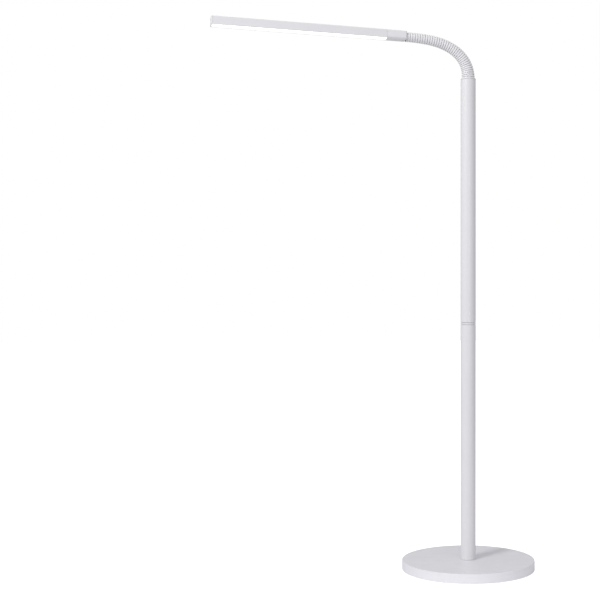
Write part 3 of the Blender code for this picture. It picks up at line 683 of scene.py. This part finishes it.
# ---- Light bar channel -------------------------------------------------------------------
# An extruded aluminium channel, powder coated white, open below. Two pairs of ribs inside
# hold the diffuser, and the long outer edges are only just broken.
def draw_section(name, outline, low_x, high_x):
    """Draws a closed (y, z) outline from corner to corner, fills it and pulls it along X."""
    corners = [Vector((low_x, y, z)) for y, z in outline]
    bpy.ops.mesh.primitive_plane_add(size=0.001, location=corners[0])
    piece = open_piece(name)
    bpy.ops.mesh.merge(type="CENTER")
    for start, end in zip(corners, corners[1:] + corners[:1]):
        bpy.ops.mesh.extrude_region_move(TRANSFORM_OT_translate={"value": end - start})
    bpy.ops.mesh.select_all(action="SELECT")
    bpy.ops.mesh.remove_doubles(threshold=1e-6)
    bpy.ops.mesh.edge_face_add()
    bpy.ops.mesh.extrude_region_move(TRANSFORM_OT_translate={"value": (high_x - low_x, 0, 0)})
    bpy.ops.mesh.select_all(action="SELECT")
    bpy.ops.mesh.normals_make_consistent(inside=False)
    return piece


def rounded_section(low, high, half, top_round, bottom_round):
    """A bar's outer outline as (y, z): rounded above and below by different radii."""
    return (
        arc(half - top_round, high - top_round, top_round, 0, 90)
        + arc(-half + top_round, high - top_round, top_round, 90, 180)
        + arc(-half + bottom_round, low + bottom_round, bottom_round, 180, 270)
        + arc(half - bottom_round, low + bottom_round, bottom_round, 270, 360)
    )


white_channel = coated(
    "white_channel", colour=(0.805, 0.802, 0.812), shade=(0.79, 0.788, 0.80), edge=(0.86, 0.86, 0.87),
    patch_scale=22.0, grain_scale=700.0, roughness=(0.36, 0.46), bump=(0.2, 0.00009), dust=0.08,
    gloss={"Coat Weight": 0.1, "Coat Roughness": 0.3},
)
channel_low, channel_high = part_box("head_channel")
bar_half = channel_high.y
channel_wall = 0.0015
lip_reach = 0.0012
lip_depth = 0.0009
diffuser_thickness = 0.0014
top_round = 0.0020
inner_half = bar_half - channel_wall
lip_half = inner_half - lip_reach
ledge_low = channel_low.z + lip_depth + diffuser_thickness + 0.0006
ledge_high = ledge_low + 0.0009
edge_break = 0.00025
inside = [
    (lip_half, channel_low.z), (lip_half, channel_low.z + lip_depth),
    (inner_half, channel_low.z + lip_depth), (inner_half, ledge_low), (lip_half, ledge_low),
    (lip_half, ledge_high), (inner_half, ledge_high), (inner_half, channel_high.z - channel_wall),
]
channel_outline = (
    arc(bar_half - edge_break, channel_low.z + edge_break, edge_break, -90, 0, 3)
    + arc(bar_half - top_round, channel_high.z - top_round, top_round, 0, 90, 6)
    + arc(-bar_half + top_round, channel_high.z - top_round, top_round, 90, 180, 6)
    + arc(-bar_half + edge_break, channel_low.z + edge_break, edge_break, 180, 270, 3)
    + [(-y, z) for y, z in inside] + inside[::-1]
)
channel = draw_section("channel_of_light_bar", channel_outline, channel_low.x, channel_high.x)
close_piece(channel)
fit_out(channel, white_channel, "head", ["head_channel"])


# ---- End cap -----------------------------------------------------------------------------
# A small moulded cap that closes the channel's free end. Its plug is pressed into the channel,
# and its outer edges are softened by the mould.
white_plastic = coated(
    "white_plastic", colour=(0.83, 0.83, 0.835), shade=(0.81, 0.81, 0.82), edge=(0.87, 0.87, 0.88),
    patch_scale=40.0, grain_scale=1500.0, roughness=(0.44, 0.56), bump=(0.3, 0.00008), dust=0.06,
    gloss={"Specular IOR Level": 0.45},
)
cap_low, cap_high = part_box("tip_cap")
cap_thickness = 0.0028
cap_bottom_round = 0.0006
plug_inset = 0.0034
cap_section = rounded_section(cap_low.z, cap_high.z, cap_high.y, top_round, cap_bottom_round)
end_cap = draw_section("cap_on_bar_end", cap_section, cap_low.x, cap_low.x + cap_thickness)
pick(end_cap, "FACE", lambda place, facing: facing.x > 0.99)
bpy.ops.mesh.inset(thickness=plug_inset)
bpy.ops.mesh.extrude_region_move(
    TRANSFORM_OT_translate={"value": (cap_high.x - cap_low.x - cap_thickness, 0, 0)}
)
pick(end_cap, "EDGE", lambda place, along: place.x < cap_low.x + 1e-5)
bpy.ops.mesh.bevel(offset=0.0005, segments=3, affect="EDGES")
close_piece(end_cap)
fit_out(end_cap, white_plastic, "head", ["tip_cap"])


# ---- Diffuser ----------------------------------------------------------------------------
# An extruded strip of opal acrylic, slid into the channel's ribs. It stands down between the
# lips and glows, most of all along its middle, right under the row of light sources.
opal, opal_tree, opal_shader, opal_position = new_material(
    "opal_diffuser", {"IOR": 1.49, "Emission Strength": 3.2}
)
diffuser_low, diffuser_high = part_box("diffuser")
opal_parts = opal_tree.nodes.new("ShaderNodeSeparateXYZ")
join(opal_tree, opal_position, opal_parts.inputs["Vector"])
from_edge = spread(
    opal_tree, calculate(opal_tree, "ABSOLUTE", opal_parts.outputs["Y"]), 0.0112, 0.0035
)
glow = calculate(opal_tree, "MULTIPLY", from_edge, spread(
    opal_tree, noise_node(opal_tree, opal_position, 60.0, 2.0), 0.3, 0.7, 0.94, 1.0
))
join(opal_tree, blend_colours(opal_tree, glow, (0.12, 0.122, 0.088), (1.0, 0.97, 0.90)),
     opal_shader.inputs["Emission Color"])
opal_grain = place_group(opal_tree, grain_group, {
    "Colour": (0.80, 0.79, 0.77), "Shade": (0.77, 0.76, 0.74), "Patch Scale": 30.0, "Grain Scale": 1800.0,
    "Least Rough": 0.35, "Most Rough": 0.5,
}, {"Position": opal_position})
join(opal_tree, opal_grain.outputs["Colour"], opal_shader.inputs["Base Color"])
join(opal_tree, opal_grain.outputs["Roughness"], opal_shader.inputs["Roughness"])
raise_surface(opal_tree, opal_shader, opal_grain.outputs["Height"], 0.15, 0.00006)

diffuser_shelf = diffuser_high.z - diffuser_thickness
diffuser_narrow = diffuser_high.y - lip_reach
diffuser_round = 0.0003
diffuser_outline = (
    [(-diffuser_high.y, diffuser_shelf), (-diffuser_narrow, diffuser_shelf)]
    + arc(-diffuser_narrow + diffuser_round, diffuser_low.z + diffuser_round, diffuser_round, 180, 270, 3)
    + arc(diffuser_narrow - diffuser_round, diffuser_low.z + diffuser_round, diffuser_round, 270, 360, 3)
    + [(diffuser_narrow, diffuser_shelf), (diffuser_high.y, diffuser_shelf)]
    + [(diffuser_high.y, diffuser_high.z), (-diffuser_high.y, diffuser_high.z)]
)
diffuser = draw_section("opal_strip", diffuser_outline, diffuser_low.x, diffuser_high.x)
close_piece(diffuser)
fit_out(diffuser, opal, "head", ["diffuser"])


# ---- Boards and switch -------------------------------------------------------------------
# The LED strip on the channel's ceiling and the driver in the holder are small circuit boards
# with a solder mask and printed tracks. The push switch is a black moulded box.
board, board_tree, board_shader, board_position = new_material("circuit_board", {"IOR": 1.5})
tracks = board_tree.nodes.new("ShaderNodeTexBrick")
tracks.inputs["Scale"].default_value = 140.0
tracks.inputs["Color1"].default_value = (0.70, 0.71, 0.70, 1.0)
tracks.inputs["Color2"].default_value = (0.66, 0.67, 0.66, 1.0)
tracks.inputs["Mortar"].default_value = (0.55, 0.50, 0.38, 1.0)
join(board_tree, board_position, tracks.inputs["Vector"])
board_grain = place_group(board_tree, grain_group, {
    "Patch Scale": 80.0, "Grain Scale": 1500.0, "Least Rough": 0.3, "Most Rough": 0.45,
}, {"Position": board_position, "Colour": tracks.outputs["Color"], "Shade": tracks.outputs["Color"]})
join(board_tree, board_grain.outputs["Colour"], board_shader.inputs["Base Color"])
join(board_tree, board_grain.outputs["Roughness"], board_shader.inputs["Roughness"])
raise_surface(board_tree, board_shader, tracks.outputs["Fac"], 0.4, 0.00005)
dress(["led_board", "driver_board"], board)

switch_black = coated(
    "switch_black", colour=(0.03, 0.03, 0.032), shade=(0.04, 0.04, 0.042), edge=(0.09, 0.09, 0.09),
    patch_scale=200.0, grain_scale=2200.0, roughness=(0.4, 0.55), bump=(0.2, 0.00005), dust=0.0, gloss={},
)
dress(["push_switch"], switch_black)


# ---- Holder ------------------------------------------------------------------------------
# A moulded housing behind the channel. It takes the neck's end in a bore, holds the driver in
# a hollow under its lid, and a tongue at its front goes into the channel.
holder_low, holder_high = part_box("head_holder")
holder_front = channel_high.x + fit_gap
neck_axis_height = (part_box("head_ferrule")[0].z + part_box("head_ferrule")[1].z) / 2
lid_low, lid_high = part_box("holder_lid")
screw_low, screw_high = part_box("neck_set_screw")
holder_bottom_round = 0.0058
holder_section = rounded_section(
    holder_low.z, holder_high.z, holder_high.y, top_round, holder_bottom_round
)
holder = draw_section("moulded_holder", holder_section, holder_front, holder_high.x)
pick(holder, "EDGE", lambda place, along: place.x > holder_high.x - 1e-5)
bpy.ops.mesh.bevel(offset=0.0030, segments=6, affect="EDGES")
pick(holder, "EDGE", lambda place, along: place.x < holder_front + 1e-5)
bpy.ops.mesh.bevel(offset=0.00012, segments=2, affect="EDGES")
close_piece(holder)

tongue_height = (channel_low.z + 0.0045, holder_high.z - 0.0065)
bpy.ops.mesh.primitive_cube_add(size=1.0, location=(holder_front - 0.006, 0, sum(tongue_height) / 2),
                                scale=(0.016, 0.0196, tongue_height[1] - tongue_height[0]))
tongue = open_piece("tongue")
bpy.ops.mesh.bevel(offset=0.0006, segments=2, affect="EDGES")
close_piece(tongue)
add_modifier(holder, "BOOLEAN", object=tongue, operation="UNION", solver="EXACT")
bpy.data.objects.remove(tongue)

lid_middle = (lid_low + lid_high) / 2
bpy.ops.mesh.primitive_cube_add(
    size=1.0, location=(lid_middle.x, 0, holder_high.z),
    scale=(lid_high.x - lid_low.x + 2 * fit_gap, 2 * (lid_high.y + fit_gap), 0.0040),
)
rebate = open_piece("lid_rebate")
pick(rebate, "EDGE", lambda place, along: abs(along.z) > 0.9)
bpy.ops.mesh.bevel(offset=0.0015, segments=5, affect="EDGES")
close_piece(rebate)
cut_away(holder, rebate)

hollow_low = holder_low.z + 0.0020
bpy.ops.mesh.primitive_cube_add(
    size=1.0, location=(lid_middle.x, 0, (hollow_low + holder_high.z) / 2),
    scale=(0.0280, 0.0208, holder_high.z - hollow_low),
)
hollow = open_piece("driver_hollow")
pick(hollow, "EDGE", lambda place, along: abs(along.z) > 0.9)
bpy.ops.mesh.bevel(offset=0.0010, segments=3, affect="EDGES")
close_piece(hollow)
cut_away(holder, hollow)

bpy.ops.mesh.primitive_cylinder_add(
    vertices=48, radius=0.0069, depth=0.0160, location=(holder_high.x - 0.003, 0, neck_axis_height),
    rotation=(0, math.radians(90), 0),
)
cut_away(holder, bpy.context.active_object)
bpy.ops.mesh.primitive_cylinder_add(
    vertices=32, radius=screw_high.y + fit_gap, depth=0.008,
    location=((screw_low.x + screw_high.x) / 2, 0, holder_low.z + 0.002),
)
cut_away(holder, bpy.context.active_object)
fit_out(holder, white_plastic, "head", ["head_holder"])


# ---- Screws ------------------------------------------------------------------------------
# Two cross-head screws hold the lid, and a hexagon socket set screw under the holder grips
# the neck's ferrule. All three are plated steel.
first_screw_low, first_screw_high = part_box("lid_screw_1")
second_screw_low, second_screw_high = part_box("lid_screw_2")
screw_place = (first_screw_low + first_screw_high) / 2
head_radius = first_screw_high.x - screw_place.x
head_top = first_screw_high.z
head_round = 0.0002
thread_radius = 0.0007
lid_screw_outline = (
    [(0, first_screw_low.z), (0.0004, first_screw_low.z)]
    + [(thread_radius, first_screw_low.z + 0.0005), (thread_radius, head_top - 0.0007)]
    + [(head_radius, head_top - 0.0003)]
    + arc(head_radius - head_round, head_top - head_round, head_round, 0, 90, 3) + [(0, head_top)]
)
lid_screw = turn("cross_head_screw_1", lid_screw_outline, 40, centre=(screw_place.x, screw_place.y, 0))
for turned_by in (0, 90):
    bpy.ops.mesh.primitive_cube_add(
        size=1.0, location=(screw_place.x, screw_place.y, head_top), scale=(0.0021, 0.0005, 0.0009),
        rotation=(0, 0, math.radians(turned_by + 20)),
    )
    cut_away(lid_screw, bpy.context.active_object)
fit_out(lid_screw, steel, "head", ["lid_screw_1"])
bpy.ops.object.select_all(action="DESELECT")
lid_screw.select_set(True)
bpy.context.view_layer.objects.active = lid_screw
bpy.ops.object.duplicate_move(
    TRANSFORM_OT_translate={"value": (second_screw_low + second_screw_high) / 2 - screw_place}
)
second_lid_screw = bpy.context.active_object
second_lid_screw.name = "cross_head_screw_2"
bpy.ops.object.transform_apply(location=True, rotation=True, scale=True)
fit_out(second_lid_screw, steel, "head", ["lid_screw_2"])

screw_radius = screw_high.y
screw_chamfer = 0.0003
set_screw_x = (screw_low.x + screw_high.x) / 2
set_screw = turn("socket_set_screw", [
    (0, screw_low.z), (screw_radius - screw_chamfer, screw_low.z),
    (screw_radius, screw_low.z + screw_chamfer), (screw_radius, screw_high.z - screw_chamfer),
    (screw_radius - screw_chamfer, screw_high.z), (0, screw_high.z),
], 40, centre=(set_screw_x, 0, 0))
bpy.ops.mesh.primitive_cylinder_add(
    vertices=6, radius=0.0008, depth=0.0024, location=(set_screw_x, 0, screw_low.z)
)
cut_away(set_screw, bpy.context.active_object)
fit_out(set_screw, steel, "head", ["neck_set_screw"])


# ---- Lid and push button -----------------------------------------------------------------
# A flush moulded lid closes the holder's top and is held by the two screws. The dimmer's push
# button comes up through it, and a flange under the lid keeps the button in.
button_low, button_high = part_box("power_button")
button_middle = (button_low + button_high) / 2
button_radius = 0.0040
flange_radius = button_high.y
flange_top = lid_low.z - fit_gap
bpy.ops.mesh.primitive_cube_add(size=1.0, location=lid_middle, scale=lid_high - lid_low)
lid = open_piece("lid_of_holder")
pick(lid, "EDGE", lambda place, along: abs(along.z) > 0.9)
bpy.ops.mesh.bevel(offset=0.0012, segments=5, affect="EDGES")
pick(lid, "EDGE", lambda place, along: place.z > lid_high.z - 1e-5)
bpy.ops.mesh.bevel(offset=0.0002, segments=2, affect="EDGES")
close_piece(lid)
bpy.ops.mesh.primitive_cylinder_add(
    vertices=64, radius=button_radius + fit_gap, depth=0.006, location=(button_middle.x, 0, lid_high.z)
)
cut_away(lid, bpy.context.active_object)
for low, high in ((first_screw_low, first_screw_high), (second_screw_low, second_screw_high)):
    place = (low + high) / 2
    for radius, depth in ((head_radius + fit_gap, 0.0020), (0.0010, 0.0060)):
        bpy.ops.mesh.primitive_cylinder_add(
            vertices=32, radius=radius, depth=depth, location=(place.x, place.y, lid_high.z)
        )
        cut_away(lid, bpy.context.active_object)
fit_out(lid, white_plastic, "head", ["holder_lid"])

button_top = button_high.z
button_round = 0.0005
button_outline = (
    [(0, button_low.z), (flange_radius, button_low.z), (flange_radius, flange_top)]
    + [(button_radius, flange_top)]
    + arc(button_radius - button_round, button_top - button_round, button_round, 0, 90, 5)
    + [(button_radius * 0.7, button_top - 0.00008), (button_radius * 0.35, button_top - 0.0003)]
    + [(0, button_top - 0.0004)]
)
button = turn("push_button", button_outline, 64, centre=(button_middle.x, 0, 0))
fit_out(button, white_plastic, "button", ["power_button"])


# ---- Studio ------------------------------------------------------------------------------
# A plain floor with no edge in view, a weak pool of light painted as a glow on the floor before
# the base, a soft key light from the left front, a narrow strip for the gloss on the pole and a
# pale surround. The floor and the surround are white to the camera, and dimmer where they light
# the lamp.
bpy.ops.mesh.primitive_plane_add(size=60, location=(0, 0, cad_low.z - 0.0003))
floor = bpy.context.active_object
floor.name = "studio_floor"
floor_paint, floor_tree, floor_shader, floor_position = new_material("studio_floor", {"Roughness": 0.9})
floor_noise = noise_node(floor_tree, floor_position, 3.0, 3.0)
join(floor_tree, blend_colours(floor_tree, floor_noise, (0.80, 0.80, 0.81), (0.82, 0.82, 0.83)),
     floor_shader.inputs["Base Color"])
floor_shader.inputs["Emission Color"].default_value = (1.0, 1.0, 1.0, 1.0)
floor_seen = floor_tree.nodes.new("ShaderNodeLightPath").outputs["Is Camera Ray"]
from_pool = floor_tree.nodes.new("ShaderNodeVectorMath")
from_pool.operation = "DISTANCE"
join(floor_tree, floor_position, from_pool.inputs[0])
from_pool.inputs[1].default_value = (0.0, -0.20, 0.0)
# Painted pool of light: the floor glows more in a round patch before the base.
painted_light_pool = spread(floor_tree, from_pool.outputs["Value"], 0.08, 0.28, 0.16, 0.0)
join(floor_tree, calculate(
    floor_tree, "MAXIMUM", painted_light_pool, calculate(floor_tree, "MULTIPLY", floor_seen, 0.8)
), floor_shader.inputs["Emission Strength"])
floor.data.materials.append(floor_paint)

surround = bpy.data.worlds.new("surround")
surround.use_nodes = True
bpy.context.scene.world = surround
world_tree = surround.node_tree
background = world_tree.nodes["Background"]
background.inputs["Strength"].default_value = 1.0
world_seen = world_tree.nodes.new("ShaderNodeLightPath").outputs["Is Camera Ray"]
join(world_tree, blend_colours(world_tree, world_seen, (0.53, 0.526, 0.552), (1.0, 1.0, 1.0)),
     background.inputs["Color"])


def soft_light(name, place, aim, size, power):
    """An area light of this width and height, turned towards a point."""
    turned = (Vector(aim) - Vector(place)).to_track_quat("-Z", "Y").to_euler()
    bpy.ops.object.light_add(type="AREA", location=place, rotation=turned)
    light = bpy.context.active_object
    light.name = name
    light.data.shape = "RECTANGLE"
    light.data.size, light.data.size_y = size
    light.data.energy = power
    light.visible_camera = False


soft_light("key_light", place=(-2.95, -1.9, 3.05), aim=(0, 0, 0.6), size=(0.9, 0.9), power=77)
soft_light("gloss_strip", place=(-0.12, -2.81, 0.945), aim=(0, 0, 0.945), size=(0.05, 1.09), power=5)

bpy.context.scene.view_settings.view_transform = "Standard"
bpy.context.view_layer.update()
